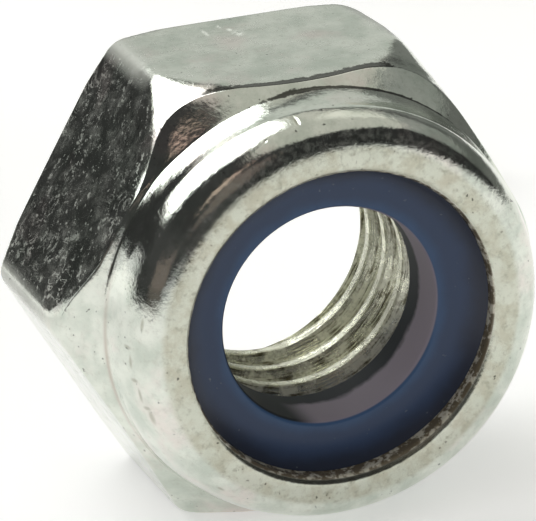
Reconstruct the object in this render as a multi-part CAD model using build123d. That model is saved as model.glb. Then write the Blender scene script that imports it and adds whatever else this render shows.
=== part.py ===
from build123d import *
import math
import os

# M8 lock nut with a nylon insert: a cold-formed steel hexagon nut whose
# rolled-over collar holds a nylon ring. Millimetres.
#
# The nut stands on one of its six flats, with +Z up. Its thread runs along Y:
# the bearing face looks towards +Y and the nylon end towards -Y. The origin is
# on the thread's axis, half way along the nut.
#
# Each piece is drawn as a half section, radius against height above the bearing
# face, is turned about the thread's axis, and is laid onto its flat at the end.

# ---- thread ---------------------------------------------------------------
THREAD_MAJOR = 8.0
PITCH = 1.25
MINOR_R = (THREAD_MAJOR - 1.0825 * PITCH) / 2   # the bore is cut at the crests
COUNTERSINK_R = 4.3         # 45 degree mouth at the bearing face
LEAD_OUT = 0.7              # 45 degree relief under the ring

# ---- hexagon --------------------------------------------------------------
ACROSS_FLATS = 13.0
CORNER_ROUNDING = 0.6       # cold forming never quite fills the six long edges
BEARING_CIRCLE_R = 6.87     # outer edge of the bearing face
BEARING_CHAMFER = 30.0      # degrees from the bearing face
CORNER_R = 7.413            # the long edges' crest, over the rounding
FULL_CORNER_Z = 4.1         # up to here the press filled the corners
CORNER_LEAN = 14.7          # degrees from the axis, where it left them a little short
UPPER_CHAMFER = 43.0        # degrees from the axis
TURNING_ROOM = 0.5          # how far the turned form reaches past the corners

# ---- collar ---------------------------------------------------------------
HEIGHT = 8.2
FOOT_R = 6.3                # collar wall where it leaves the upper chamfer
FOOT_Z = 5.92
COLLAR_TAPER = 5.5          # degrees from the axis, up to the rolling line
ROLL_LINE_Z = 6.9           # where the rolling die began to turn the wall in
ROLL_TAPER = 15.0           # degrees from the axis, above the rolling line
CROWN_RADIUS = 1.1          # the wall turns over into the lip in one wide sweep
LIP_R = 4.54                # free edge of the rolled lip
LIP_EDGE_RADIUS = 0.25

# ---- nylon ring and its pocket --------------------------------------------
POCKET_R = 5.4
SEAT_Z = 5.3                # shelf that the ring sits on
GRIP_Z = 7.25               # underside of the lip, rolled down hard on the ring
CURL_RADIUS = 0.45          # inside of the roll, where the wall turns into the lip
RING_BORE_R = 3.2           # tighter than the thread, so a screw has to press through
RING_MOUTH_RADIUS = 0.15
RING_CHAMFER = CURL_RADIUS  # cut off the ring's outer edge, so that it clears the curl

def leaning_in(rise, degrees_from_axis):
    """Radius lost over a rise, on a line that leans in by this angle."""
    return rise * math.tan(math.radians(degrees_from_axis))

def turned(*corners):
    """Turn a closed half section, given as (radius, height, corner rounding)."""
    with BuildPart() as piece:
        with BuildSketch(Plane.XZ):
            with BuildLine():
                FilletPolyline(*[(r, z) for r, z, _ in corners],
                               radius=[rounding for _, _, rounding in corners], close=True)
            make_face()
        revolve(axis=Axis.Z)
    return piece.part

def hexagon_bar():
    """Bar of hexagon section with rounded long edges and two flats square to Y."""
    with BuildPart() as bar:
        with BuildSketch() as section:
            RegularPolygon(ACROSS_FLATS / 2, 6, major_radius=False)
            fillet(section.vertices(), CORNER_ROUNDING)
        extrude(amount=HEIGHT)
    return bar.part

def turned_blank():
    """All that is round on the steel: the bearing chamfer, the corners' lean, the
    upper chamfer, the collar rolled over into a lip, the ring's pocket, the relief
    below it, the bore and the countersink."""
    outer_r = CORNER_R + TURNING_ROOM
    corner_slope = math.tan(math.radians(CORNER_LEAN))
    chamfer_slope = math.tan(math.radians(UPPER_CHAMFER))
    bearing_chamfer_z = (outer_r - BEARING_CIRCLE_R) * math.tan(math.radians(BEARING_CHAMFER))
    lean_z = FULL_CORNER_Z - TURNING_ROOM / corner_slope
    foot_gap = FOOT_R + leaning_in(FOOT_Z - FULL_CORNER_Z, UPPER_CHAMFER) - CORNER_R
    arch_z = FULL_CORNER_Z + foot_gap / (chamfer_slope - corner_slope)
    arch_r = CORNER_R - leaning_in(arch_z - FULL_CORNER_Z, CORNER_LEAN)
    roll_line_r = FOOT_R - leaning_in(ROLL_LINE_Z - FOOT_Z, COLLAR_TAPER)
    crown_r = roll_line_r - leaning_in(HEIGHT - ROLL_LINE_Z, ROLL_TAPER)
    return turned(
        (COUNTERSINK_R, 0, 0),
        (BEARING_CIRCLE_R, 0, 0),
        (outer_r, bearing_chamfer_z, 0),
        (outer_r, lean_z, 0),
        (arch_r, arch_z, 0),
        (FOOT_R, FOOT_Z, 0),
        (roll_line_r, ROLL_LINE_Z, 0),
        (crown_r, HEIGHT, CROWN_RADIUS),
        (LIP_R, HEIGHT, LIP_EDGE_RADIUS),
        (LIP_R, GRIP_Z, 0),
        (POCKET_R, GRIP_Z, CURL_RADIUS),
        (POCKET_R, SEAT_Z, 0),
        (MINOR_R + LEAD_OUT, SEAT_Z, 0),
        (MINOR_R, SEAT_Z - LEAD_OUT, 0),
        (MINOR_R, COUNTERSINK_R - MINOR_R, 0),
    )

def nut_body():
    """Steel nut: the hexagon bar where it lies inside the turned blank."""
    return turned_blank() & hexagon_bar()

def nylon_insert():
    """Plain nylon ring, held down in its pocket by the rolled lip."""
    return turned(
        (RING_BORE_R, SEAT_Z, 0),
        (POCKET_R, SEAT_Z, 0),
        (POCKET_R, GRIP_Z - RING_CHAMFER, 0),
        (POCKET_R - RING_CHAMFER, GRIP_Z, 0),
        (RING_BORE_R, GRIP_Z, RING_MOUTH_RADIUS),
    )

def on_its_flat(piece):
    """Lay a piece over so that the nylon end looks towards -Y and a flat is down."""
    return Pos(0, HEIGHT / 2, 0) * Rot(90, 0, 0) * piece

os.makedirs("parts", exist_ok=True)
export_step(on_its_flat(nut_body()), "parts/nut_body.step")
export_step(on_its_flat(nylon_insert()), "parts/nylon_insert.step")
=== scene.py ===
# %% [markdown]
# # A nylon insert lock nut
#
# A nut of this kind is two pieces. A steel hexagon is pressed to shape, tapped
# and zinc plated, and its thin collar is then rolled over a ring of nylon. The
# screw has to press its own thread into the ring, and the grip of the nylon keeps
# the nut from shaking loose.
#
# The CAD part is the fixed frame here. It gives both pieces their places and
# sizes, and this lesson dresses them: a steel body with its thread and soft
# edges, a ring with rounded edges, and the two finishes.

# %% Load the frame
import math

import bpy
from mathutils import Matrix, Vector


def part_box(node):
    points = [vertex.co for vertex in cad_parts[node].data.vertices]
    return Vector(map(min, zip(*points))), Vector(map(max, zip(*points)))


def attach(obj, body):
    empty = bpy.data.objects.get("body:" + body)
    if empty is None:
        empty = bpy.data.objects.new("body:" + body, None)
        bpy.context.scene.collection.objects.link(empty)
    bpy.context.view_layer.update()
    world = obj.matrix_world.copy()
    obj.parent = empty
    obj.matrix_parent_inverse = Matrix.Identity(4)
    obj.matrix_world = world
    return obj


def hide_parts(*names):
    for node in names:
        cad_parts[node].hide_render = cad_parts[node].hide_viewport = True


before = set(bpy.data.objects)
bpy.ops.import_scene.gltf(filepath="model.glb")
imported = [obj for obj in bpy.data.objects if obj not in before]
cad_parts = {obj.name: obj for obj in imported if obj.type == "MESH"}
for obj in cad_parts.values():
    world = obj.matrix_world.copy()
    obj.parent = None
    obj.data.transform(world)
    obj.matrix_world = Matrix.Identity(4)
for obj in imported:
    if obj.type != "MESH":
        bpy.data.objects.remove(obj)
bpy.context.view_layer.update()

# %% [markdown]
# ## Words and units
#
# Blender works in metres, and a nut is easier to think of in millimetres. Every
# place on this nut is told in three numbers, as a turner would tell it: a radius
# from the thread's axis, a height above the bearing face, and an angle round the
# axis. The angle is zero at the top flat and grows towards the left flat.

# %% Helpers for places and pieces
MM = 0.001
body_low, body_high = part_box("nut_body")
NUT_HEIGHT = (body_high.y - body_low.y) / MM
BEARING_Y = body_high.y
FLOOR_Z = body_low.z


def on_the_nut(radius, height, angle):
    """A place on the nut, from millimetres and radians to the frame's metres."""
    return Vector((-radius * math.sin(angle) * MM,
                   BEARING_Y - height * MM,
                   radius * math.cos(angle) * MM))


def deselect_everything():
    if bpy.context.object and bpy.context.object.mode != "OBJECT":
        bpy.ops.object.mode_set(mode="OBJECT")
    bpy.ops.object.select_all(action="DESELECT")


def turn_faces_outwards():
    """Turn all faces outwards, in edit mode."""
    bpy.ops.mesh.select_all(action="SELECT")
    bpy.ops.mesh.normals_make_consistent(inside=False)


def smooth_but_edges(piece):
    """Shade a piece smooth, and keep the edges that turn more than 35 degrees."""
    deselect_everything()
    piece.select_set(True)
    bpy.context.view_layer.objects.active = piece
    bpy.ops.object.shade_smooth_by_angle(angle=math.radians(35))


def new_piece(name, add, **settings):
    """Add one of Blender's own shapes, name it, and move its place into its mesh."""
    deselect_everything()
    add(**settings)
    piece = bpy.context.object
    piece.name = name
    piece.data.name = name
    bpy.ops.object.transform_apply(location=True, rotation=True, scale=True)
    return piece


print("nut height", round(NUT_HEIGHT, 3), "mm, floor at", round(FLOOR_Z / MM, 3), "mm")

# %% [markdown]
# ## The steel body's own numbers
#
# The hexagon, the chamfers, the collar and the lip are the CAD body's. What is
# added here is what a fine eye sees on the real nut. The press did not quite fill
# the hexagon's corners near the chamfer, so their rounding grows there, and it left
# one corner blunt at its bearing end. The flats are a hair hollow along their
# arches, one arch is rolled over softly, and on one side the chamfer was cut high
# and ends in a ledge. The collar was squeezed hollow while it was rolled, and the
# rolling die sat a little askew, so the crease where it began to turn the collar
# climbs and falls round the nut.
#
# A name that ends in _R is a radius, and one that ends in _H is a height above the
# bearing face. An _AT tells in degrees where round the nut a form is strongest, and
# how far it reaches to both sides.

# %% Sizes of the body, in millimetres
ACROSS_FLATS = (body_high.z - body_low.z) / MM
SIXTH = math.radians(60)
CORNER_ROUNDING = 0.6
UNFILLED_H = 4.1
UNFILLED_VARY = 0.62
UNFILLED_ANGLE = math.radians(-20)
UNFILLED_GROWTH = 1.7
BLUNT_CORNER = 1.0
BLUNT_CORNER_AT = (-30, 14)
BLUNT_CORNER_H = 2.2
BEARING_CIRCLE_R = 6.87
BEARING_CHAMFER = math.tan(math.radians(30))
CHAMFER_LEAN = math.tan(math.radians(43))
HIGH_SIDE = 0.28
HIGH_SIDE_AT = (64, 14)
LEDGE_RISE = 0.12
HOLLOW_DEPTH = 0.018
HOLLOW_WIDTH = 0.6
FOOT_R = 6.3
FOOT_H = 5.92
LEAN_AT_FOOT = math.tan(math.radians(15))
LEAN_AT_CREASE = math.tan(math.radians(-4))
WEAK_CREASE_LEAN = math.tan(math.radians(8))
WEAK_CREASE_AT = (88, 32)
CREASE_MEAN_H = 6.88
CREASE_RISE = 0.43
CREASE_ANGLE = math.radians(-60)
ROLL_LEAN = math.radians(11)
ROLL_PULL = 1.1
LOW_CREASE_PULL = 0.6
CROWN_PULL = 0.78
LIP_R = 4.54
LIP_EDGE_RADIUS = 0.25
LIP_UNDERSIDE_H = 7.25
CURL_RADIUS = 0.45
SOFT_ARCH = 0.26
SOFT_ARCH_AT = (46, 9)
POCKET_R = 5.4
SEAT_H = 5.3
COUNTERSINK_R = 4.3
print("across flats", round(ACROSS_FLATS, 2), "mm, foot of the collar at", FOOT_H, "mm")

# %% [markdown]
# ## The thread
#
# This is a coarse M8 thread: one turn climbs 1.25 mm, the flanks meet at 60
# degrees, and the crests are cut flat at the bore's radius. A right-hand helix
# climbs as the angle grows. The wall of the bore can then be told as one radius
# for each height and angle, whichever cutter went deepest there: the drill, the
# tap, the countersink or the relief under the ring. A smooth greatest value
# leaves the tiny round that a worn tool leaves.

# %% Shape of the bore's wall
PITCH = 1.25
MAJOR_R = 4.0
MINOR_R = (2 * MAJOR_R - 1.0825 * PITCH) / 2
FLANK = math.tan(math.radians(30))
HALF_CREST = PITCH / 8
CREST_H = 2.88
CREST_ANGLE = math.radians(221)
RELIEF_DEPTH = 0.7
RELIEF_R = MINOR_R + RELIEF_DEPTH
TOOL_ROUND = 0.05


def smooth_least(a, b, width):
    return (a + b - math.sqrt((a - b) ** 2 + width ** 2)) / 2


def smooth_greatest(a, b, width):
    return (a + b + math.sqrt((a - b) ** 2 + width ** 2)) / 2


def tapped_radius(height, angle):
    """How deep the tap cut, at a height above the bearing face and an angle."""
    climb = CREST_H + PITCH * (angle - CREST_ANGLE) / math.tau
    from_crest = abs((height - climb + PITCH / 2) % PITCH - PITCH / 2)
    flank_r = MINOR_R + (from_crest - HALF_CREST) / FLANK
    root_r = smooth_least(MAJOR_R, flank_r, 2 * TOOL_ROUND)
    return smooth_greatest(MINOR_R, root_r, TOOL_ROUND)


def bore_radius(height, angle):
    """The bore's wall: drill, tap, countersink and the relief under the ring."""
    cones = max(COUNTERSINK_R - height, RELIEF_R - (SEAT_H - height))
    return smooth_greatest(tapped_radius(height, angle), cones, TOOL_ROUND)


print("thread", round(2 * MINOR_R, 3), "mm at the crests,", round(2 * MAJOR_R, 3), "mm at the roots")

# %% [markdown]
# ## The outside wall
#
# Seen along the axis, the outside is a hexagon with rounded corners. Seen from
# the side it is a turned shape. At each angle and height the smaller of the two
# radii wins, and that alone draws the tall arches of the flats. A smooth least
# value rolls the arches' edges over softly, as the press and the plating do.

# %% Shape of the outside wall
ARCH_SOFTNESS = 0.08
FOOT_SOFTNESS = 0.02
FOOT_BAND = 0.1
EDGE_BREAK = 0.08
CORNER_SOFTNESS = 0.15
LOWEST_ARCH_H = 2.0
CLOSE_ENOUGH = 0.001


def clamped(value):
    """A value held between 0 and 1."""
    return min(max(value, 0), 1)


def beside(angle, place):
    """1 at a place round the nut, falling to 0 on both sides of it."""
    centre, width = (math.radians(number) for number in place)
    apart = (angle - centre + math.pi) % math.tau - math.pi
    return math.exp(-(apart / width) ** 2)


def angle_from_flat(angle):
    """How far round the middle of the nearest flat is."""
    return abs((angle + SIXTH / 2) % SIXTH - SIXTH / 2)


def unfilled_height(angle):
    """Height from which the press left the corners unfilled."""
    return UNFILLED_H - UNFILLED_VARY * math.cos(angle - UNFILLED_ANGLE)


def corner_rounding(height, angle):
    """The corners' rounding, which grows where the press did not fill them. One
    corner is blunt at its bearing end."""
    above = smooth_greatest(height - unfilled_height(angle), 0, CORNER_SOFTNESS)
    blunt = BLUNT_CORNER * beside(angle, BLUNT_CORNER_AT)
    blunt *= max(1 - height / BLUNT_CORNER_H, 0)
    return CORNER_ROUNDING + UNFILLED_GROWTH * above + blunt


def hexagon_radius(height, angle):
    """Radius of the hexagon bar with its rounded corners."""
    rounding = corner_rounding(height, angle)
    from_flat = angle_from_flat(angle)
    from_corner = SIXTH / 2 - from_flat
    centre = (ACROSS_FLATS / 2 - rounding) / math.cos(SIXTH / 2)
    tangent_angle = math.atan2(rounding * math.sin(SIXTH / 2), centre + rounding * math.cos(SIXTH / 2))
    if from_corner > tangent_angle:
        return ACROSS_FLATS / 2 / math.cos(from_flat)
    aside = centre * math.sin(from_corner)
    return centre * math.cos(from_corner) + math.sqrt(rounding ** 2 - aside ** 2)


def chamfer_radius(height, angle):
    """The upper chamfer's cone. On one side it was cut high, and ends in a ledge."""
    below_ledge = clamped((FOOT_H - height) / LEDGE_RISE)
    high = HIGH_SIDE * beside(angle, HIGH_SIDE_AT)
    return FOOT_R + (FOOT_H - height) * CHAMFER_LEAN + high * below_ledge


def arch_height(angle):
    """Height at which the hexagon gives way to the upper chamfer, found by halving."""
    low_h = LOWEST_ARCH_H
    high_h = FOOT_H
    while high_h - low_h > CLOSE_ENOUGH:
        middle = (low_h + high_h) / 2
        if hexagon_radius(middle, angle) < chamfer_radius(middle, angle):
            low_h = middle
        else:
            high_h = middle
    return low_h


def crease_height(angle):
    """Height of the crease where the die began to roll the collar in."""
    return CREASE_MEAN_H + CREASE_RISE * math.cos(angle - CREASE_ANGLE)


def collar_radius(height, angle):
    """The squeezed collar: it leans in at its foot, and at most angles out again
    at the crease."""
    rise = crease_height(angle) - FOOT_H
    share = (height - FOOT_H) / rise
    weak = beside(angle, WEAK_CREASE_AT)
    lean_at_crease = LEAN_AT_CREASE + (WEAK_CREASE_LEAN - LEAN_AT_CREASE) * weak
    return FOOT_R - rise * (LEAN_AT_FOOT * share + (lean_at_crease - LEAN_AT_FOOT) * share ** 2 / 2)


def hollow_depth(height, arch):
    """The flats are a hair hollow along their arches, and steepest at the edge."""
    share = clamped(1 - (arch - height) / HOLLOW_WIDTH)
    greatest = 4 / 27
    return HOLLOW_DEPTH * share ** 2 * (1 - share) / greatest


def wall_radius(height, angle, arch):
    """The outside wall at a height and an angle."""
    if height > FOOT_H + FOOT_BAND:
        return collar_radius(height, angle)
    bearing_r = BEARING_CIRCLE_R + height / BEARING_CHAMFER
    flat = hexagon_radius(height, angle) - hollow_depth(height, arch)
    softness = ARCH_SOFTNESS + SOFT_ARCH * beside(angle, SOFT_ARCH_AT)
    radius = smooth_least(flat, chamfer_radius(height, angle), softness)
    radius = smooth_least(radius, bearing_r, ARCH_SOFTNESS)
    if height > FOOT_H - FOOT_BAND:
        return smooth_greatest(radius, collar_radius(height, angle), FOOT_SOFTNESS)
    if height < EDGE_BREAK:
        radius -= EDGE_BREAK - math.sqrt(EDGE_BREAK ** 2 - (EDGE_BREAK - height) ** 2)
    return radius


print("an arch climbs from", round(arch_height(math.radians(30)), 2), "to", round(arch_height(0), 2), "mm")

# %% [markdown]
# ## One trip round the section
#
# Cut the nut at any angle and the cut face is a closed loop. The loop below goes
# up the outside wall, over the rolled collar and the lip, down through the ring's
# pocket and the bore, and back along the bearing face. It always has the same
# number of points, packed closely where the shape turns sharply. The rolled part
# is one Bezier curve, because a rolling die bends metal in one smooth sweep.

# %% Points of the section at one angle
THREAD_ROWS = 126
CROWN_ROWS = 28
QUARTER = math.pi / 2


def spread(start, end, count):
    """Values from start up to, but without, end."""
    return [start + (end - start) * i / count for i in range(count)]


def wall_heights(angle, arch):
    """Heights of the outside wall's points, close together at each soft edge."""
    crease = crease_height(angle)
    hollow = arch - HOLLOW_WIDTH
    unfilled = min(unfilled_height(angle) - 0.3, hollow - 0.1)
    above_arch = arch + min(0.1, (FOOT_H - arch) / 3)
    stops = [(0, 5), (EDGE_BREAK, 6), (0.5, 3), (unfilled, 6), (hollow, 6), (arch - 0.2, 18),
             (above_arch, 6), (FOOT_H - 0.06, 10), (FOOT_H + FOOT_BAND, 14), (crease, 0)]
    return [height for (start, count), (end, _) in zip(stops, stops[1:])
            for height in spread(start, end, count)]


def arc(centre_r, centre_h, radius, start, end, count):
    """Points on an arc of the section, angles in radians from straight outwards."""
    return [(centre_r + radius * math.cos(a), centre_h + radius * math.sin(a))
            for a in spread(start, end, count)]


def line(start, end, count):
    """Points on a straight part of the section."""
    return list(zip(spread(start[0], end[0], count), spread(start[1], end[1], count)))


def rolled_collar(angle, count):
    """Points from the crease over the crown to the lip, on one Bezier curve."""
    crease_h = crease_height(angle)
    crease = Vector((collar_radius(crease_h, angle), crease_h))
    pull = ROLL_PULL + (CREASE_MEAN_H - crease.y) * LOW_CREASE_PULL
    lip = Vector((LIP_R + LIP_EDGE_RADIUS, NUT_HEIGHT))
    leaving = crease + pull * Vector((-math.sin(ROLL_LEAN), math.cos(ROLL_LEAN)))
    arriving = lip + Vector((CROWN_PULL, 0))
    return [tuple(crease * (1 - t) ** 3 + leaving * 3 * t * (1 - t) ** 2
                  + arriving * 3 * t * t * (1 - t) + lip * t ** 3) for t in spread(0, 1, count)]


def section_points(angle):
    """The closed loop of (radius, height) points at one angle."""
    arch = arch_height(angle)
    wall = [(wall_radius(h, angle, arch), h) for h in wall_heights(angle, arch)]
    crown = rolled_collar(angle, CROWN_ROWS)
    edge_r = LIP_R + LIP_EDGE_RADIUS
    edge_h = NUT_HEIGHT - LIP_EDGE_RADIUS
    lip = arc(edge_r, edge_h, LIP_EDGE_RADIUS, QUARTER, 2 * QUARTER, 9)
    lip += line((LIP_R, edge_h), (LIP_R, LIP_UNDERSIDE_H), 5)
    curl_r = POCKET_R - CURL_RADIUS
    curl_h = LIP_UNDERSIDE_H - CURL_RADIUS
    pocket = line((LIP_R, LIP_UNDERSIDE_H), (curl_r, LIP_UNDERSIDE_H), 3)
    pocket += arc(curl_r, curl_h, CURL_RADIUS, QUARTER, 0, 6)
    pocket += line((POCKET_R, curl_h), (POCKET_R, SEAT_H), 2)
    pocket += line((POCKET_R, SEAT_H), (RELIEF_R, SEAT_H), 3)
    bore = [(bore_radius(h, angle), h) for h in spread(SEAT_H, 0, THREAD_ROWS)]
    bearing_face = line((bore_radius(0, angle), 0), wall[0], 5)
    return wall + crown + lip + pocket + bore + bearing_face


SECTION_COUNT = len(section_points(0))
WALL_COUNT = len(wall_heights(0, arch_height(0)))
print("points in a section:", SECTION_COUNT)

# %% [markdown]
# ## Turning the body
#
# A boolean cut would be the quick way to chamfer and tap this body, but it leaves
# slivers along every arch, and bright plating shows each one as a broken
# reflection. So the closed loop is turned like a section in a lathe, with a Screw
# modifier that has no climb. That gives a clean grid of quads with no seam and no
# pole. The copies are packed closer at the six corners, where the hexagon turns.

# %% Turn a loop into a blank
ROUND_STEPS = 360
CORNER_PACKING = 0.6
BLANK_R = 5
MERGE_GAP = 0.001


def step_angle(step):
    """Angle of one turned copy, with the copies drawn together at the corners."""
    even = math.tau * step / ROUND_STEPS
    return even + CORNER_PACKING / 6 * math.sin(6 * even)


def turn_loop(count):
    """A loop of points turned about the thread's axis, in order of angle."""
    blank = new_piece("nut_body_plated", bpy.ops.mesh.primitive_circle_add, vertices=count,
                      radius=MM, rotation=(0, math.pi / 2, 0), location=(0, 0, BLANK_R * MM))
    bpy.ops.object.modifier_add(type="SCREW")
    lathe = blank.modifiers[-1]
    lathe.axis = "Y"
    lathe.angle = -math.tau
    lathe.steps = lathe.render_steps = ROUND_STEPS
    lathe.use_merge_vertices = True
    lathe.merge_threshold = MERGE_GAP * MM
    bpy.ops.object.modifier_apply(modifier=lathe.name)
    return blank


print("turned copies:", ROUND_STEPS)

# %% [markdown]
# ## Where the finish changes
#
# Every part of the nut wears in its own way, and the finish has to know which part
# it is on. So each point of the body carries a few shares from 0 to 1: how much of
# it lies on a flat, on a worn corner, on the scuffed crown, on the lip, in the bore,
# or where shade is painted along the arches and the collar's foot, and where the
# brown line lies.

# %% Shares of the body's points
SHARP_CORNER_R = ACROSS_FLATS / 2 / math.cos(SIXTH / 2)
FLAT_FADE = 0.1
WEAR_REACH = 0.55
WEAR_FADE = 0.7
# Painted shade along the arches and at the collar's foot: where it lies and how it fades.
EDGE_SHADE_REACH = 0.36
EDGE_SHADE_FADE = 0.04
EDGE_SHADE_END = math.radians(26)
EDGE_SHADE_END_FADE = math.radians(3)
EDGE_SHADE_AT = (-4, 42)
FOOT_SHADE_H = 5.94
FOOT_SHADE_BAND = 0.05
FOOT_SHADE_AT = (-14, 30)
FOOT_BLOT_BAND = 0.08
FOOT_BLOT_AT = (5, 7)
STAIN_H = 6.03
STAIN_BAND = 0.09
STAIN_AT = (100, 24)
SCUFFED_R = 5.5
SCUFFED_REACH = 0.28
SCUFFED_H = 7.6
SCUFFED_AT = (-5, 55)
LEAST_SCUFFED = 0.15
RELIEF_H = SEAT_H - RELIEF_DEPTH
RIM_REACH = 0.07
A_HAIR = 0.01
LIP_FADE_R = 5.4
LIP_FADE = 0.15


def band(value, centre, reach):
    """1 at a centre value, falling to 0 on both sides of it."""
    return math.exp(-((value - centre) / reach) ** 2)


def flat_share(height, angle, arch):
    """1 on a flat, 0 on the turned shape, and a short change between them."""
    half_flat = ACROSS_FLATS / 2 - corner_rounding(height, angle) / 2
    across = half_flat * math.tan(SIXTH / 2) - ACROSS_FLATS / 2 * math.tan(angle_from_flat(angle))
    return clamped(min(across, arch - height) / FLAT_FADE)


def edge_share(height, angle, arch):
    """1 along the arch of a flat, where a dark line of painted shade lies, most of all on the top one."""
    near_arch = clamped(1 - (arch - ARCH_SOFTNESS - height) / EDGE_SHADE_REACH)
    near_arch *= clamped((arch - height) / EDGE_SHADE_FADE)
    near_arch *= beside(angle, EDGE_SHADE_AT)
    return near_arch * clamped((EDGE_SHADE_END - angle_from_flat(angle)) / EDGE_SHADE_END_FADE)


def foot_share(height, angle):
    """1 in the corner at the collar's foot, where shade is painted dark on one side."""
    blot = FOOT_BLOT_BAND * beside(angle, FOOT_BLOT_AT)
    return band(height, FOOT_SHADE_H, FOOT_SHADE_BAND + blot) * beside(angle, FOOT_SHADE_AT)


def stain_share(height, angle):
    """1 along the foot of the collar on the left, where a brown line is partly a tint and partly painted
    shade of the groove.
    """
    return band(height, STAIN_H, STAIN_BAND) * beside(angle, STAIN_AT)


def crown_share(radius, height, angle):
    """1 on the rolled crown beside the lip, where the die scuffed the plate."""
    ring = band(radius, SCUFFED_R, SCUFFED_REACH) * float(height > SCUFFED_H)
    return ring * (LEAST_SCUFFED + (1 - LEAST_SCUFFED) * beside(angle, SCUFFED_AT))


def wear_share(height, angle):
    """1 on a worn corner of the hexagon, fading out over the flats beside it."""
    from_corner = (SIXTH / 2 - angle_from_flat(angle)) * SHARP_CORNER_R
    below = clamped((unfilled_height(angle) - height) / WEAR_FADE)
    return below * max(1 - from_corner / WEAR_REACH, 0)


def lip_share(radius, height):
    """1 on the flattened lip, 0 on the rest, with a short change on the crown."""
    return clamped((LIP_FADE_R - radius) / LIP_FADE) * float(height > LIP_UNDERSIDE_H)


def shares_at(radius, height, angle, arch, on_wall):
    """The shares of one point by name. The bore, the relief between it and the ring,
    and the lip's free edge have a hard border, so their shares are 0 or 1."""
    return {"flat": flat_share(height, angle, arch) * on_wall,
            "edge": edge_share(height, angle, arch) * on_wall,
            "wear": wear_share(height, angle) * on_wall,
            "foot": foot_share(height, angle) * on_wall,
            "stain": stain_share(height, angle) * on_wall,
            "crown": crown_share(radius, height, angle),
            "bore": float(radius < COUNTERSINK_R + A_HAIR and height < RELIEF_H + A_HAIR),
            "relief": float(radius < COUNTERSINK_R and RELIEF_H < height < SEAT_H + A_HAIR),
            "rim": float(radius < LIP_R + RIM_REACH and height > LIP_UNDERSIDE_H - A_HAIR),
            "lip": lip_share(radius, height)}


def groove_turn(height, angle):
    """Place across one thread groove, as a cosine and a sine so that it has no jump."""
    climb = CREST_H + PITCH * (angle - CREST_ANGLE) / math.tau
    across = math.tau * (height - climb) / PITCH
    return math.cos(across), math.sin(across), 0.0


print("shares:", ", ".join(shares_at(LIP_R, NUT_HEIGHT, 0, arch_height(0), 0.0)))

# %% [markdown]
# ## Laying the blank onto its sections
#
# Each turned copy of the loop is laid onto the section at its own angle, so the
# round blank becomes a hexagon with a thread in it. Each point takes its shares along.

# %% Make the steel body
def write_on(piece, name, kind, key, values):
    """Write one value per point onto a piece."""
    piece.data.attributes.new(name, kind, "POINT").data.foreach_set(key, values)


def make_nut_body():
    """The steel body: a turned blank laid onto the sections."""
    body = turn_loop(SECTION_COUNT)
    places = []
    turns = []
    shares = {}
    for step in range(ROUND_STEPS):
        angle = step_angle(step)
        arch = arch_height(angle)
        for place, (radius, height) in enumerate(section_points(angle)):
            places.extend(on_the_nut(radius, height, angle))
            turns.extend(groove_turn(height, angle))
            on_wall = float(place < WALL_COUNT)
            for name, value in shares_at(radius, height, angle, arch, on_wall).items():
                shares.setdefault(name, []).append(value)
    body.data.vertices.foreach_set("co", places)
    for name, values in shares.items():
        write_on(body, name + "_share", "FLOAT", "value", values)
    write_on(body, "groove_turn", "FLOAT_VECTOR", "vector", turns)
    body.data.update()
    bpy.ops.object.mode_set(mode="EDIT")
    turn_faces_outwards()
    smooth_but_edges(body)
    return body


nut_body = make_nut_body()
print("body faces:", len(nut_body.data.polygons))

# %% [markdown]
# ## The nylon ring
#
# The ring is a plain washer of nylon, dropped into the pocket and then clamped. It
# is drawn as a lathe would turn it: one circle, extruded and scaled loop by loop
# round its section and bridged back to its start. Squeezed by the lip, the nylon
# has swollen a little into the lip's opening, most of all on one side. A bevel
# rounds the mouth that the screw goes through.

# %% Make the ring
RING_BORE_R = 3.2
RING_STEPS = 256
RING_MOUTH_ROUND = 0.15
RING_CHAMFER = CURL_RADIUS
BULGE = [(3.75, 0.05), (4.1, 0.16), (4.3, 0.26), (4.42, 0.34), (4.5, 0.40), (4.53, 0.42)]
SWELL = 0.2
SWELL_AT = (-75, 42)
ring_low, ring_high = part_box("nylon_insert")
RING_TOP_H = (BEARING_Y - ring_low.y) / MM
RING_SEAT_H = (BEARING_Y - ring_high.y) / MM


def loop_to(radius_from, radius_to, height_from, height_to):
    """Extrude the selected loop of the ring to its next radius and height."""
    bpy.ops.mesh.extrude_region_move(
        TRANSFORM_OT_translate={"value": (0, (height_from - height_to) * MM, 0)})
    grow = radius_to / radius_from
    centre = (0, BEARING_Y - height_to * MM, 0)
    bpy.ops.transform.resize(value=(grow, 1, grow), center_override=centre)


def round_ring_mouth(ring):
    """Bevel the edges round the ring's mouth. It starts in edit mode and leaves it."""
    bpy.ops.mesh.select_mode(type="EDGE")
    bpy.ops.mesh.select_all(action="DESELECT")
    bpy.ops.object.mode_set(mode="OBJECT")
    mouth_y = BEARING_Y - (RING_TOP_H - A_HAIR) * MM
    inner = (RING_BORE_R + A_HAIR) * MM
    rim = {v.index for v in ring.data.vertices
           if v.co.y < mouth_y and math.hypot(v.co.x, v.co.z) < inner}
    for edge in ring.data.edges:
        edge.select = set(edge.vertices) <= rim
    bpy.ops.object.mode_set(mode="EDIT")
    bpy.ops.mesh.bevel(offset=RING_MOUTH_ROUND * MM, segments=8)
    bpy.ops.object.mode_set(mode="OBJECT")


def swell_one_side(ring):
    """Where the lip pinched the ring hardest, the nylon stands higher beside it."""
    first_r, last_r = BULGE[0][0], BULGE[-1][0]
    for vertex in ring.data.vertices:
        radius = math.hypot(vertex.co.x, vertex.co.z) / MM
        above = (BEARING_Y - vertex.co.y) / MM - RING_TOP_H
        if above > A_HAIR and radius > first_r:
            angle = math.atan2(-vertex.co.x, vertex.co.z)
            share = ((radius - first_r) / (last_r - first_r)) ** 2
            vertex.co.y -= SWELL * share * beside(angle, SWELL_AT) * MM


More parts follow.
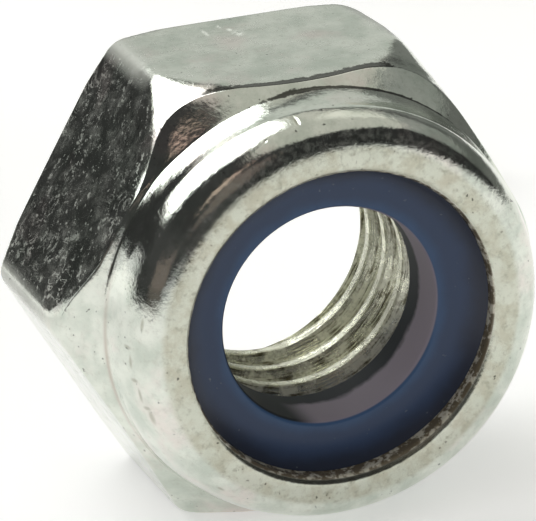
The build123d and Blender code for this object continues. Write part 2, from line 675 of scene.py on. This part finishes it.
def make_nylon_ring():
    """The ring: one loop led round the section, then its mouth and its swelling."""
    ring = new_piece("nylon_ring", bpy.ops.mesh.primitive_circle_add, vertices=RING_STEPS,
                     radius=RING_BORE_R * MM, rotation=(math.pi / 2, 0, 0),
                     location=(0, BEARING_Y - RING_SEAT_H * MM, 0))
    loops = [(RING_BORE_R, RING_SEAT_H), (RING_BORE_R, RING_TOP_H)]
    loops += [(radius, RING_TOP_H + rise) for radius, rise in BULGE]
    loops += [(BULGE[-1][0], RING_TOP_H), (POCKET_R - RING_CHAMFER, RING_TOP_H),
              (POCKET_R, RING_TOP_H - RING_CHAMFER), (POCKET_R, RING_SEAT_H)]
    bpy.ops.object.mode_set(mode="EDIT")
    bpy.ops.mesh.select_all(action="SELECT")
    for (r_from, h_from), (r_to, h_to) in zip(loops, loops[1:]):
        loop_to(r_from, r_to, h_from, h_to)
    bpy.ops.mesh.select_all(action="DESELECT")
    bpy.ops.mesh.select_non_manifold()
    bpy.ops.mesh.bridge_edge_loops()
    turn_faces_outwards()
    round_ring_mouth(ring)
    swell_one_side(ring)
    smooth_but_edges(ring)
    return ring


nylon_ring = make_nylon_ring()
print("ring faces:", len(nylon_ring.data.polygons))

# %% [markdown]
# ## Finishes
#
# A finish is a small tree of shader nodes. Every pattern reads Object coordinates,
# scaled so that its numbers are per millimetre. The helpers make one node each, or
# a short chain, so that a finish reads like a recipe.

# %% Helpers for finishes
def add_node(tree, kind, inputs=None, **settings):
    """Add a shader node, set it up, and give each named input a value or a link."""
    made = tree.nodes.new("ShaderNode" + kind)
    for name, value in settings.items():
        setattr(made, name, value)
    for name, value in (inputs or {}).items():
        if isinstance(value, bpy.types.NodeSocket):
            tree.links.new(value, made.inputs[name])
        else:
            made.inputs[name].default_value = value
    return made


def start_finish(name):
    """An empty material, its tree, and Object coordinates in millimetres."""
    finish = bpy.data.materials.new(name)
    finish.use_nodes = True
    tree = finish.node_tree
    tree.nodes.clear()
    coordinates = add_node(tree, "TexCoord").outputs["Object"]
    in_mm = add_node(tree, "Mapping", {"Vector": coordinates, "Scale": (1 / MM, 1 / MM, 1 / MM)})
    return finish, tree, in_mm.outputs["Vector"]


def maths(tree, operation, first, second=0.0):
    """One sum on one or two values."""
    return add_node(tree, "Math", {0: first, 1: second}, operation=operation).outputs[0]


def product(tree, first, *others):
    """All values multiplied."""
    for other in others:
        first = maths(tree, "MULTIPLY", first, other)
    return first


def total(tree, first, *others):
    """All values added."""
    for other in others:
        first = maths(tree, "ADD", first, other)
    return first


def largest(tree, first, *others):
    """The largest of the values."""
    for other in others:
        first = maths(tree, "MAXIMUM", first, other)
    return first


def noise(tree, place, scale, detail=4, roughness=0.55, distortion=0):
    """Soft random clouds, with a scale in clouds per millimetre."""
    made = add_node(tree, "TexNoise",
                    {"Vector": place, "Scale": scale, "Detail": detail,
                     "Roughness": roughness, "Distortion": distortion})
    return made.outputs["Fac"]


def stretch(tree, value, low, high, to_low=0.0, to_high=1.0):
    """Map a range of a value to another, clamped and eased at both ends."""
    made = add_node(tree, "MapRange",
                    {"Value": value, "From Min": low, "From Max": high,
                     "To Min": to_low, "To Max": to_high},
                    interpolation_type="SMOOTHSTEP")
    return made.outputs["Result"]


def patches(tree, place, scale, detail, low, high, to_low=0.0, to_high=1.0, roughness=0.55):
    """Clouds between two of their values, stretched to patches with clear edges."""
    return stretch(tree, noise(tree, place, scale, detail, roughness), low, high, to_low, to_high)


def on_part(tree, part, *others):
    """The share of one part of the nut, read from the mesh, times any other values."""
    share = add_node(tree, "Attribute", attribute_name=part + "_share")
    return product(tree, share.outputs["Fac"], *others)


def along_axes(tree, vector):
    """The X, Y and Z of a vector."""
    return add_node(tree, "SeparateXYZ", {"Vector": vector}).outputs


def bump(tree, height, strength, depth, under=None):
    """Small forms of a depth in millimetres, on top of the ones that lie under them."""
    inputs = {"Height": height, "Strength": strength, "Distance": depth * MM}
    if under:
        inputs["Normal"] = under
    return add_node(tree, "Bump", inputs).outputs["Normal"]


def layered(tree, colour, *layers):
    """A colour with others laid over it in order, each told as its share and itself."""
    for share, over in layers:
        mix = add_node(tree, "Mix", {0: share, 6: colour, 7: over}, data_type="RGBA")
        colour = mix.outputs[2]
    return colour


def finish_with(tree, surface):
    """Lead the finished surface out of the tree."""
    add_node(tree, "OutputMaterial", {"Surface": surface.outputs[0]})


def dress(piece, finish):
    piece.data.materials.clear()
    piece.data.materials.append(finish)


print("a finish is told in millimetres, each", MM, "m long")

# %% [markdown]
# ## Zinc plate
#
# The plating is bright on the turned parts, and every part has its own marks. The
# flats were dragged over other nuts in the plating barrel, so they carry pale
# crawling specks and scratches, and the top one has a few white scuffs. Shade is
# painted as a dark line along the arches and at the collar's foot, and on the left
# the foot carries a brown line, partly a tint and partly painted shade of the groove.
# The lip was pressed flat by the rolling die and looks creamy and mottled, its free
# edge is crusted with pale painted glints, and the crown beside it is sooty. The
# passivate bath left the thread yellow and brown, with painted shade deeper in its
# roots, and the relief under the ring is painted dark grey as shade.
#
# A film of wear or dirt isn't metal. So the film lowers Metallic where it lies, and
# shows a matt colour of its own: on the worn corners, the crown, the rim, in the
# bore and, very thin, over the flats. A rougher metal would glow instead wherever
# the soft box is near.

# %% Zinc plate: colours and single marks
BRIGHT_ZINC = (0.75, 0.78, 0.71, 1)
DULL_ZINC = (0.55, 0.60, 0.53, 1)
ROSE_TINT = (0.76, 0.67, 0.64, 1)
LIP_ZINC = (0.58, 0.60, 0.51, 1)
LIP_SHADE = (0.47, 0.46, 0.36, 1)
MOTTLE = (0.34, 0.34, 0.27, 1)
YELLOW_PASSIVATE = (0.97, 0.98, 0.80, 1)
# Brown passivate, also used as painted shade deeper in the thread's roots.
BROWN_PASSIVATE_AND_ROOT_SHADE = (0.13, 0.115, 0.06, 1)
# The relief under the ring is painted dark grey as shade.
RELIEF_PAINTED_SHADE = (0.17, 0.19, 0.20, 1)
RIM_BROWN = (0.15, 0.125, 0.085, 1)
# Pale painted glints on the lip's crusted free edge.
RIM_PAINTED_GLINT = (0.62, 0.60, 0.50, 1)
# Dark for the pits, and for the painted shade along the arches and the collar's foot.
PIT_AND_SHADE_DARK = (0.05, 0.05, 0.042, 1)
WORN_GREY = (0.50, 0.52, 0.47, 1)
# A brown line at the collar's foot, partly a tint and partly painted shade of the groove there.
BROWN_TINT_AND_SHADE = (0.42, 0.34, 0.28, 1)
SOOT = (0.085, 0.06, 0.04, 1)
SCUFF_WHITE = (0.86, 0.90, 0.82, 1)
DENT_DEPTH = 0.014
WAVE_DEPTH = 0.010
GRAIN_DEPTH = 0.01

# Each mark: radius, height, degrees round the nut, half its size round the nut and along it.
SCUFFS = [(6.51, 1.36, 2.8, 0.17, 0.24), (6.51, 1.0, 3.9, 0.08, 0.12),
          (6.53, 0.64, 5.6, 0.06, 0.14), (6.6, 0.95, 10.2, 0.07, 0.28)]
DENTS = [(6.08, 7.32, 9.0, 0.08, 0.28), (6.02, 7.6, 19.0, 0.05, 0.05), (5.80, 7.66, 81.0, 0.20, 0.05),
         (6.02, 7.15, 89.0, 0.06, 0.20), (6.01, 7.26, 93.0, 0.20, 0.06), (5.97, 7.33, 98.3, 0.06, 0.22),
         (5.93, 7.42, 102.6, 0.20, 0.06), (5.88, 7.52, 106.5, 0.07, 0.20), (5.87, 7.58, 109.5, 0.22, 0.09),
         (5.70, 7.84, 140.0, 0.12, 0.05), (6.73, 4.2, 105.0, 0.06, 0.06)]
print("single marks:", len(SCUFFS), "scuffs and", len(DENTS), "dents")


# %% Zinc plate: patterns
def crawling_lines(tree, place):
    """Thin crawling lines, where a noise crosses its middle value."""
    from_middle = maths(tree, "SUBTRACT", noise(tree, place, 1.9, 3, 0.6, 1.2), 0.5)
    return stretch(tree, maths(tree, "ABSOLUTE", from_middle), 0.05, 0)


def scratches(tree, place, turn, seed):
    """Straight fine scratches along one direction of the piece."""
    drawn = add_node(tree, "Mapping", {"Vector": place, "Rotation": turn,
                                       "Location": (seed, seed, seed), "Scale": (0.35, 9, 9)})
    return patches(tree, drawn.outputs["Vector"], 1, 2, 0.70, 0.75)


def speckle(tree, place):
    """Pale specks and scratches on the flats, in patches."""
    lines = product(tree, crawling_lines(tree, place),
                    patches(tree, place, 0.55, 3, 0.42, 0.62, 0.05, 1),
                    patches(tree, place, 2.6, 2, 0.42, 0.56))
    dots = patches(tree, place, 3.4, 5, 0.56, 0.68, roughness=0.7)
    marks = largest(tree, lines, dots, scratches(tree, place, (0.3, 0.5, 0.9), 3),
                    scratches(tree, place, (1.1, -0.4, 0.2), 8))
    return on_part(tree, "flat", marks)


def single_marks(tree, place, marks):
    """Small soft spots, each at its own place and of its own size."""
    deepest = 0.0
    for radius, height, turn, around, along in marks:
        spot = on_the_nut(radius, height, math.radians(turn)) / MM
        apart = add_node(tree, "VectorMath", {0: place, 1: spot}, operation="SUBTRACT")
        sizes = (1 / around, 1 / along, 1 / around)
        in_sizes = add_node(tree, "VectorMath", {0: apart.outputs[0], 1: sizes}, operation="MULTIPLY")
        away = add_node(tree, "VectorMath", {0: in_sizes.outputs[0]}, operation="LENGTH")
        deepest = largest(tree, stretch(tree, away.outputs["Value"], 1.5, 0.3), deepest)
    return deepest


def thread_turn(tree):
    """The place across a thread groove, read from the mesh. X is 1 on a crest, -1 in a root."""
    turn = add_node(tree, "Attribute", attribute_name="groove_turn")
    return along_axes(tree, turn.outputs["Vector"])


def thread_grooves(tree, place):
    """Fine uneven grooves that follow the thread, as the tap leaves them."""
    across = thread_turn(tree)
    round_it = along_axes(tree, place)
    along = total(tree, product(tree, round_it["X"], 0.14), product(tree, round_it["Z"], 0.12))
    spot = add_node(tree, "CombineXYZ", {"X": across["X"], "Y": across["Y"], "Z": along})
    return noise(tree, spot.outputs["Vector"], 4.2, 5, 0.62)


def film(tree, place, specks, scuffs):
    """How much of the plate is hidden by a matt film, part by part."""
    return largest(
        tree,
        on_part(tree, "wear", patches(tree, place, 1.1, 4, 0.2, 0.6, 0.55, 1)),
        on_part(tree, "flat", patches(tree, place, 1.2, 6, 0.46, 0.74, 0.0, 0.18, roughness=0.7)),
        on_part(tree, "crown", patches(tree, place, 6, 5, 0.42, 0.66, 0.0, 0.24, roughness=0.7)),
        on_part(tree, "bore", patches(tree, place, 1.2, 4, 0.42, 0.6, 0.05, 0.6, roughness=0.65)),
        on_part(tree, "rim", 0.7), product(tree, specks, 0.32), product(tree, scuffs, 0.75))


# %% Zinc plate: colour, part by part
def clean_plate(tree, place):
    """Bright plate that clouds over in places, with a rose tint here and there."""
    return layered(tree, BRIGHT_ZINC, (patches(tree, place, 0.9, 5, 0.35, 0.7), DULL_ZINC),
                   (patches(tree, place, 0.5, 4, 0.52, 0.72, 0, 0.6), ROSE_TINT))


def add_lip(tree, place, colour):
    """The creamy lip, and a fine mottle that is strongest on it."""
    shaded = patches(tree, place, 1.5, 5, 0.40, 0.64, roughness=0.68)
    mottle = product(tree, patches(tree, place, 4.2, 6, 0.50, 0.70, roughness=0.7),
                     total(tree, on_part(tree, "lip", 0.5), 0.22))
    return layered(tree, colour,
                   (on_part(tree, "lip", 0.85), layered(tree, LIP_ZINC, (shaded, LIP_SHADE))),
                   (mottle, MOTTLE))


def add_bore(tree, place, grooves, colour):
    """The thread, stained yellow and brown along its grooves with painted shade deeper in its roots, and
    the relief painted dark grey as shade.
    """
    # A random brown stain along the grooves; the last term paints shade deeper in the roots.
    stain = total(tree, product(tree, grooves, 1.7), product(tree, noise(tree, place, 1.9, 6, 0.72), 1.2),
                  product(tree, thread_turn(tree)["X"], -0.08))
    return layered(tree, colour, (on_part(tree, "bore", 0.85), YELLOW_PASSIVATE),
                   (on_part(tree, "bore", stretch(tree, stain, 1.38, 1.76), 0.95), BROWN_PASSIVATE_AND_ROOT_SHADE),
                   (on_part(tree, "relief"), RELIEF_PAINTED_SHADE))


def add_rim(tree, place, colour):
    """The lip's crusted free edge, with pale painted glints on it."""
    painted_glints = patches(tree, place, 3.2, 5, 0.47, 0.58, roughness=0.7)
    return layered(tree, colour, (on_part(tree, "rim"), layered(tree, RIM_BROWN, (painted_glints, RIM_PAINTED_GLINT))))


def add_marks(tree, place, dents, scuffs, colour):
    """Pits, dents, scuffs, the brown line and the painted shade along the arches and the collar's foot, in
    that order.
    """
    # Painted shade: dark lines along the arches and at the collar's foot.
    painted_shade_lines = largest(tree, on_part(tree, "edge"), on_part(tree, "foot"))
    painted_shade_lines = stretch(tree, total(tree, painted_shade_lines, noise(tree, place, 5, 5, 0.7)), 0.80, 0.98, 0, 0.94)
    return layered(tree, colour, (patches(tree, place, 6, 2, 0.70, 0.76, 0, 0.8), PIT_AND_SHADE_DARK),
                   (product(tree, dents, 0.6), MOTTLE), (scuffs, SCUFF_WHITE),
                   (on_part(tree, "stain", 0.6), BROWN_TINT_AND_SHADE), (painted_shade_lines, PIT_AND_SHADE_DARK))


def zinc_colour(tree, place, grooves, dull, dents, scuffs):
    """The plate's colour, laid on part by part."""
    colour = add_lip(tree, place, clean_plate(tree, place))
    colour = layered(tree, colour, (dull, layered(tree, WORN_GREY, (on_part(tree, "crown"), SOOT))))
    colour = add_bore(tree, place, grooves, colour)
    colour = add_rim(tree, place, colour)
    return add_marks(tree, place, dents, scuffs, colour)


# %% Zinc plate: roughness, small forms and the whole finish
def zinc_roughness(tree, grain, specks):
    """Smooth plate, a little rougher wherever it is marked or worn."""
    return total(tree, product(tree, grain, 0.10), on_part(tree, "flat", 0.03),
                 on_part(tree, "wear", 0.08), product(tree, specks, 0.22),
                 on_part(tree, "bore", 0.16), on_part(tree, "lip", 0.12), 0.04)


def zinc_forms(tree, place, grain, specks, grooves, dents):
    """Dents, the press's soft waves, and over them the grain, the grooves and the crust."""
    dented = bump(tree, product(tree, dents, -1), 1.0, DENT_DEPTH)
    waved = bump(tree, noise(tree, place, 2.6, 2), 1.0, WAVE_DEPTH, dented)
    height = total(tree, grain, product(tree, specks, -0.4), on_part(tree, "bore", grooves, 9),
                   on_part(tree, "rim", noise(tree, place, 4, 4, 0.6), 6),
                   on_part(tree, "crown", noise(tree, place, 4.5, 4, 0.6), 1.5))
    return bump(tree, height, 0.4, GRAIN_DEPTH, waved)


def zinc_plate():
    finish, tree, place = start_finish("zinc_plate")
    grain = noise(tree, place, 9, 6, 0.65)
    grooves = thread_grooves(tree, place)
    specks = speckle(tree, place)
    dents = single_marks(tree, place, DENTS)
    scuffs = product(tree, single_marks(tree, place, SCUFFS),
                     patches(tree, place, 5, 4, 0.36, 0.56, roughness=0.7))
    dull = film(tree, place, specks, scuffs)
    surface = add_node(tree, "BsdfPrincipled",
                       {"Base Color": zinc_colour(tree, place, grooves, dull, dents, scuffs),
                        "Roughness": zinc_roughness(tree, grain, specks),
                        "Metallic": maths(tree, "SUBTRACT", 1.0, dull),
                        "Normal": zinc_forms(tree, place, grain, specks, grooves, dents)})
    finish_with(tree, surface)
    return finish


dress(nut_body, zinc_plate())
print("zinc plate on", nut_body.name)

# %% [markdown]
# ## Blue nylon
#
# Nylon lets a little light through, so the ring's inner edge is painted paler than
# the rest, as that glow. Round the outside, under the steel lip, painted shade makes
# it darker. The wall of its bore carries a painted grey sheen, and painted shade at
# the far end and on one side. Radius and height are worked out from the place, so
# the colours follow the ring's own shape.

# %% Blue nylon
NAVY = (0.036, 0.061, 0.126, 1)
# A paler inner edge, painted as the glow of light through the nylon.
PALE_GLOW_PAINTED = (0.043, 0.094, 0.200, 1)
# Painted shade on the nylon under the steel lip.
UNDER_LIP_PAINTED_SHADE = (0.021, 0.028, 0.050, 1)
# A painted grey sheen on the ring's bore wall; BORE_SHADE is its painted shade.
BORE_PAINTED_SHEEN = (0.28, 0.252, 0.30, 1)
BORE_SHADE = (0.014, 0.020, 0.026, 1)
PALE_EDGE_END_R = 3.65
UNDER_LIP_START_R = 3.85
# Where the painted sheen on the bore wall begins, and how fast it fades in.
SHEEN_FROM_H = 5.82
SHEEN_FADE = 0.3
NYLON_SPECULAR = 0.36
NYLON_GRAIN_DEPTH = 0.01


def bore_wall_colour(tree, place, parts):
    """A painted grey sheen on the ring's bore near its mouth, and painted shade at the far end and on one
    side.
    """
    height = total(tree, product(tree, parts["Y"], -1), BEARING_Y / MM,
                   product(tree, noise(tree, place, 1.2, 3, 0.6), 0.5), -0.25)
    sheen_share = product(tree, stretch(tree, height, SHEEN_FROM_H, SHEEN_FROM_H + SHEEN_FADE),
                     stretch(tree, parts["X"], -1.2, -0.3))
    return layered(tree, BORE_SHADE, (sheen_share, BORE_PAINTED_SHEEN))


def blue_nylon():
    finish, tree, place = start_finish("blue_nylon")
    parts = along_axes(tree, place)
    squares = total(tree, product(tree, parts["X"], parts["X"]), product(tree, parts["Z"], parts["Z"]))
    radius = maths(tree, "SQRT", squares)
    uneven = total(tree, radius, product(tree, noise(tree, place, 0.8, 3), 0.5), -0.25)
    in_bore = stretch(tree, radius, RING_BORE_R + 0.07, RING_BORE_R + 0.03)
    # Painted glow at the inner edge, painted shade under the lip, random specks, and the bore wall's
    # painted sheen and shade.
    colour = layered(tree, NAVY, (stretch(tree, uneven, PALE_EDGE_END_R, RING_BORE_R), PALE_GLOW_PAINTED),
                     (stretch(tree, uneven, UNDER_LIP_START_R, LIP_R - 0.05), UNDER_LIP_PAINTED_SHADE),
                     (patches(tree, place, 6, 2, 0.70, 0.80, 0, 0.2), DULL_ZINC),
                     (in_bore, bore_wall_colour(tree, place, parts)))
    surface = add_node(tree, "BsdfPrincipled",
                       {"Base Color": colour, "Specular IOR Level": NYLON_SPECULAR,
                        "Roughness": total(tree, product(tree, in_bore, 0.35), 0.3),
                        "Normal": bump(tree, noise(tree, place, 14, 4), 0.2, NYLON_GRAIN_DEPTH)})
    finish_with(tree, surface)
    return finish


dress(nylon_ring, blue_nylon())
print("blue nylon on", nylon_ring.name)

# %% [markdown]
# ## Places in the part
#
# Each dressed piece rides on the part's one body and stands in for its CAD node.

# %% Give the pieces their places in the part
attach(nut_body, "root")
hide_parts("nut_body")
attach(nylon_ring, "root")
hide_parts("nylon_insert")
print("pieces ride on the frame")

# %% [markdown]
# ## The studio
#
# Bright plating has hardly any colour of its own: it shows what stands round it.
# So the studio is a pale table, a soft box high on the left, a light ceiling, a
# grey back wall, and dark screens that give the rolled collar its black bands.
# The screens are left out of the camera's own rays, so the nut is seen on plain
# white from every side. They look dark in a mirror only: to a matt surface such
# as the nylon they give a plain even light.

# %% Helpers for the studio
SOFT_LIGHT = 0.55


def ray_is(tree, *kinds):
    """1 for rays of the named kinds, such as what a mirror looks at, else 0."""
    path = add_node(tree, "LightPath")
    return largest(tree, *(path.outputs[kind] for kind in kinds))


def glow(name, colour, mirrored, given):
    """A shining material: one strength in a mirror, another for plain lighting."""
    finish, tree, _ = start_finish(name)
    strength = stretch(tree, ray_is(tree, "Is Glossy Ray"), 0, 1, given, mirrored)
    finish_with(tree, add_node(tree, "Emission", {"Color": colour, "Strength": strength}))
    return finish


def between(ends, share):
    """A value part of the way from the first of two ends to the second."""
    return ends[0] + (ends[1] - ends[0]) * share


def towards(azimuth, elevation):
    """A direction of length 1. The azimuth runs from +Y towards +X."""
    return Vector((math.sin(azimuth) * math.cos(elevation),
                   math.cos(azimuth) * math.cos(elevation),
                   math.sin(elevation)))


def studio_screen(name, azimuths, feet, heads, distance, colour, mirrored, given=SOFT_LIGHT):
    """A curved screen round the nut, from one azimuth to another, in degrees. Its
    foot and its head have an elevation at each of the two ends."""
    screen = new_piece(name, bpy.ops.mesh.primitive_grid_add,
                       x_subdivisions=24, y_subdivisions=12, size=2)
    for vertex in screen.data.vertices:
        along = (vertex.co.x + 1) / 2
        up = (vertex.co.y + 1) / 2
        azimuth = between(azimuths, along)
        elevation = between((between(feet, along), between(heads, along)), up)
        vertex.co = distance * towards(math.radians(azimuth), math.radians(elevation))
    dress(screen, glow(name, colour, mirrored, given))
    screen.visible_camera = False


print("the studio's plain light:", SOFT_LIGHT)

# %% [markdown]
# ## Putting up the screens
#
# A bright part is lit by choosing what it mirrors. From where one looks, each spot
# of the nut mirrors one direction of the studio, and the screen that stands there
# gives the spot its tone. Walls make the large tones, a rail draws a dark line along
# the collar, and a card puts a tint or a glint on one spot. A near screen covers the
# ones behind it.

# %% Put up the screens
WARM = (1, 0.98, 0.90, 1)
PLAIN = (1, 1, 1, 1)
OLIVE = (0.97, 1.0, 0.94, 1)
BROWN = (1, 0.84, 0.76, 1)
RED_BROWN = (1, 0.76, 0.64, 1)
# Each screen: name, azimuths, feet, heads, distance, colour, and its strength in a mirror.
SCREENS = [
    ("ceiling", (-180, 180), (8, 8), (90, 90), 0.62, WARM, 0.62),
    ("soft_box", (-68, 4), (27, 34), (70, 70), 0.50, PLAIN, 3.5, 3.0),
    ("left_wall", (-19, -8), (10, 10), (36, 36), 0.52, PLAIN, 0.45),
    ("back_wall", (-10, 39), (2, 2), (46, 46), 0.54, OLIVE, 0.64),
    ("back_strip", (2, 33), (-10, -10), (31, 10), 0.06, OLIVE, 0.42),
    ("left_rail", (8, 33), (38, 41), (43, 48), 0.45, PLAIN, 0.07),
    ("right_rail", (33, 57), (41, 16), (48, 26), 0.45, PLAIN, 0.07),
    ("cream_card", (33, 64), (47, 42), (66, 60), 0.44, WARM, 0.9),
    ("small_back_card", (22, 35), (-14, -14), (4, 4), 0.026, OLIVE, 0.18),
    ("left_back_screen", (-62, -41), (14, 0), (30, 30), 0.046, PLAIN, 0.035),
    ("left_low_screen", (-41, -19), (0, -6), (34, 34), 0.046, PLAIN, 0.035),
    ("left_near_screen", (-19, -12), (-6, -6), (20, 20), 0.046, PLAIN, 0.035),
    ("left_corner_screen", (-68, -48), (10, 8), (27, 27), 0.070, PLAIN, 0.035),
    ("left_front_screen", (-180, -62), (-6, -6), (27, 27), 0.085, PLAIN, 0.055),
    ("left_high_screen", (-180, -68), (27, 27), (60, 76), 0.085, PLAIN, 0.045, 1.0),
    ("red_brown_card", (-143, -123), (46, 36), (60, 47), 0.080, RED_BROWN, 0.72),
    ("brown_card", (-172, -138), (22, 22), (48, 48), 0.080, BROWN, 0.17),
    ("ledge_card", (-156, -128), (-5, -5), (3, 3), 0.080, PLAIN, 0.45),
    ("small_brown_card", (-128, -90), (0, 0), (16, 16), 0.080, BROWN, 0.17),
    ("dark_pillar", (38, 50), (-3, -3), (30, 30), 0.48, OLIVE, 0.21),
    ("right_low_screen", (50, 104), (0, 0), (20, 20), 0.48, OLIVE, 0.15),
    ("right_high_screen", (49, 104), (20, 20), (44, 44), 0.48, OLIVE, 0.32),
    ("right_front_screen", (104, 180), (0, 0), (44, 60), 0.46, PLAIN, 0.03, 0.25),
]
for screen in SCREENS:
    studio_screen(*screen)
print("screens:", ", ".join(name for name, *_ in SCREENS))

# %% [markdown]
# ## Table and backdrop
#
# The table is a pale matt board. The camera, and what is mirrored in the metal,
# see it lifted to white by a little glow of its own, while the nut's shadow on
# it stays. The world is the white backdrop beyond the table.

# %% Lay the table and hang the backdrop
TABLE_SIZE = 4.0
TABLE_COLOUR = (0.86, 0.86, 0.85, 1)
TABLE_LIFT = 0.35
SEEN_DIRECTLY = ("Is Camera Ray", "Is Glossy Ray", "Is Transmission Ray")


def lay_table():
    """A matt board that shines a little to the camera and in the metal."""
    table = new_piece("table", bpy.ops.mesh.primitive_plane_add, size=TABLE_SIZE,
                      location=(0, 0, FLOOR_Z))
    finish, tree, _ = start_finish("pale_board")
    board = add_node(tree, "BsdfDiffuse", {"Color": TABLE_COLOUR})
    lift = product(tree, ray_is(tree, *SEEN_DIRECTLY), TABLE_LIFT)
    shine = add_node(tree, "Emission", {"Strength": lift})
    finish_with(tree, add_node(tree, "AddShader", {0: board.outputs[0], 1: shine.outputs[0]}))
    dress(table, finish)


def hang_backdrop():
    """White to the camera and in the metal, and a plain soft light for the rest."""
    world = bpy.data.worlds.new("backdrop")
    bpy.context.scene.world = world
    world.use_nodes = True
    tree = world.node_tree
    tree.nodes.clear()
    strength = largest(tree, ray_is(tree, *SEEN_DIRECTLY), SOFT_LIGHT)
    backdrop = add_node(tree, "Background", {"Strength": strength})
    add_node(tree, "OutputWorld", {"Surface": backdrop.outputs[0]})


lay_table()
hang_backdrop()
print("table at", round(FLOOR_Z / MM, 2), "mm")

# %% [markdown]
# ## The camera
#
# A long lens from a little over the nut and to its left, as a close product shot
# is taken. The camera is placed by the direction that it looks in.

# %% Set up the camera
LENS_MM = 365.3
SENSOR_MM = 36
LOOK_AZIMUTH = math.radians(20.804)
LOOK_DOWN = math.radians(22.505)
ROLL = math.radians(1.585)
DISTANCE = 154.72 * MM
AIM = Vector((-0.498, 0.378, 0.426)) * MM


def set_up_camera():
    """A camera that looks along its direction at the aim, a little rolled."""
    look = towards(LOOK_AZIMUTH, -LOOK_DOWN)
    bpy.ops.object.camera_add(location=AIM - DISTANCE * look)
    camera = bpy.context.object
    turn = look.to_track_quat("-Z", "Y").to_matrix() @ Matrix.Rotation(-ROLL, 3, "Z")
    camera.rotation_euler = turn.to_euler()
    camera.data.lens = LENS_MM
    camera.data.sensor_width = SENSOR_MM
    camera.data.clip_start = 0.01
    camera.data.clip_end = 20
    bpy.context.scene.camera = camera
    return camera


camera = set_up_camera()
bpy.context.scene.view_settings.view_transform = "Standard"
print("camera at", [round(c / MM, 1) for c in camera.location], "mm")
